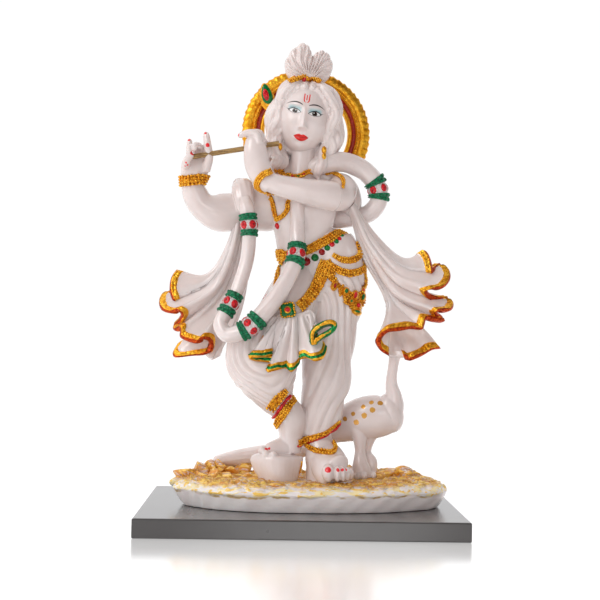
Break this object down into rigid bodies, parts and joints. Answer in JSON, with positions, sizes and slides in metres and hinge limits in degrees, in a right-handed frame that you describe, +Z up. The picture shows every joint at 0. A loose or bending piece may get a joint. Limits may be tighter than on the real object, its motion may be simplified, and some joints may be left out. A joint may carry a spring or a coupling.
{
  "type": "krishna figure",
  "caption": "Cast figure of a flute player standing cross-legged before a ring halo, with flared shawls, a hanging garland and a long-necked bird, on a flat board.",
  "frame": {"origin": "centre of the board's underside", "axes": "+Z up through the figure, -Y towards the viewer the figure faces, +X to that viewer's right"},
  "size_m": [0.195, 0.12, 0.3039],
  "materials": {
    "board_paint": "satin dark grey paint over a fibre board",
    "cast_resin": "glossy off-white marble-dust resin, hand painted with gold, green, red and blue trim",
    "flute_wood": "golden brown, semi-gloss"
  },
  "bodies": {
    "root": {"display_board": "board_paint", "krishna_figure": "cast_resin", "flute": "flute_wood"}
  },
  "joints": []
}
